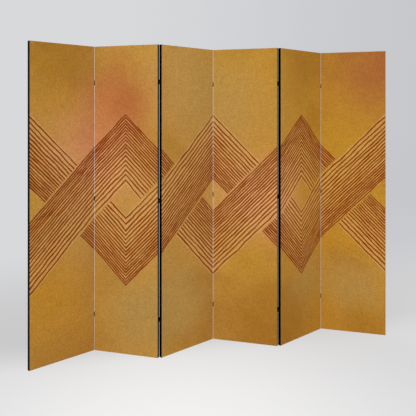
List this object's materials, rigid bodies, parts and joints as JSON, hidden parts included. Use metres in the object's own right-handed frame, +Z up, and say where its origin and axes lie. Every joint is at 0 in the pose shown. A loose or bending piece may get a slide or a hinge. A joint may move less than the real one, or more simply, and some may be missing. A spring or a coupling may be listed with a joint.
{
  "type": "room divider",
  "caption": "Free-standing folding room divider: tall canvas panels on wooden frames, printed in front and plain behind, hinged edge to edge in a zigzag.",
  "frame": {"origin": "on the floor, in the middle of the row at rest, halfway between the foremost and rearmost panel edges", "axes": "+Z up, +X along the row from panel 1 to panel 6, printed fronts face -Y"},
  "size_m": [2.1706, 0.2096, 1.8],
  "materials": {
    "frame_wood": "planed softwood bars, unfinished",
    "printed_canvas": "woven canvas, matt ochre print in front, black wraps",
    "back_cloth": "plain black woven cloth",
    "hinge_leaf": "black lacquered sheet steel",
    "hinge_pin": "drawn steel wire"
  },
  "bodies": {
    "panel_1": {"stile_left_1": "frame_wood", "stile_right_1": "frame_wood", "top_rail_1": "frame_wood", "middle_rail_1": "frame_wood", "bottom_rail_1": "frame_wood", "printed_canvas_1": "printed_canvas", "back_cloth_1": "back_cloth", "hinge_leaves_right_1": "hinge_leaf", "hinge_pins_1": "hinge_pin"},
    "panel_2": {"stile_left_2": "frame_wood", "stile_right_2": "frame_wood", "top_rail_2": "frame_wood", "middle_rail_2": "frame_wood", "bottom_rail_2": "frame_wood", "printed_canvas_2": "printed_canvas", "back_cloth_2": "back_cloth", "hinge_leaves_left_2": "hinge_leaf", "hinge_leaves_right_2": "hinge_leaf", "hinge_pins_2": "hinge_pin"},
    "panel_3": {"stile_left_3": "frame_wood", "stile_right_3": "frame_wood", "top_rail_3": "frame_wood", "middle_rail_3": "frame_wood", "bottom_rail_3": "frame_wood", "printed_canvas_3": "printed_canvas", "back_cloth_3": "back_cloth", "hinge_leaves_left_3": "hinge_leaf", "hinge_leaves_right_3": "hinge_leaf", "hinge_pins_3": "hinge_pin"},
    "panel_4": {"stile_left_4": "frame_wood", "stile_right_4": "frame_wood", "top_rail_4": "frame_wood", "middle_rail_4": "frame_wood", "bottom_rail_4": "frame_wood", "printed_canvas_4": "printed_canvas", "back_cloth_4": "back_cloth", "hinge_leaves_left_4": "hinge_leaf", "hinge_leaves_right_4": "hinge_leaf", "hinge_pins_4": "hinge_pin"},
    "panel_5": {"stile_left_5": "frame_wood", "stile_right_5": "frame_wood", "top_rail_5": "frame_wood", "middle_rail_5": "frame_wood", "bottom_rail_5": "frame_wood", "printed_canvas_5": "printed_canvas", "back_cloth_5": "back_cloth", "hinge_leaves_left_5": "hinge_leaf", "hinge_leaves_right_5": "hinge_leaf", "hinge_pins_5": "hinge_pin"},
    "panel_6": {"stile_left_6": "frame_wood", "stile_right_6": "frame_wood", "top_rail_6": "frame_wood", "middle_rail_6": "frame_wood", "bottom_rail_6": "frame_wood", "printed_canvas_6": "printed_canvas", "back_cloth_6": "back_cloth", "hinge_leaves_left_6": "hinge_leaf"}
  },
  "joints": [
    {"name": "hinge_1_2", "type": "hinge", "parent": "panel_2", "child": "panel_1", "pos_m": [-0.72436, 0.08803, 0.9], "axis": [0, 0, 1], "range_deg": [-57.6, 122.4]},
    {"name": "hinge_2_3", "type": "hinge", "parent": "panel_3", "child": "panel_2", "pos_m": [-0.36218, -0.08803, 0.9], "axis": [0, 0, -1], "range_deg": [-57.6, 122.4]},
    {"name": "hinge_3_4", "type": "hinge", "parent": "panel_3", "child": "panel_4", "pos_m": [0, 0.08803, 0.9], "axis": [0, 0, -1], "range_deg": [-57.6, 122.4]},
    {"name": "hinge_4_5", "type": "hinge", "parent": "panel_4", "child": "panel_5", "pos_m": [0.36218, -0.08803, 0.9], "axis": [0, 0, 1], "range_deg": [-57.6, 122.4]},
    {"name": "hinge_5_6", "type": "hinge", "parent": "panel_5", "child": "panel_6", "pos_m": [0.72436, 0.08803, 0.9], "axis": [0, 0, -1], "range_deg": [-57.6, 122.4]}
  ]
}
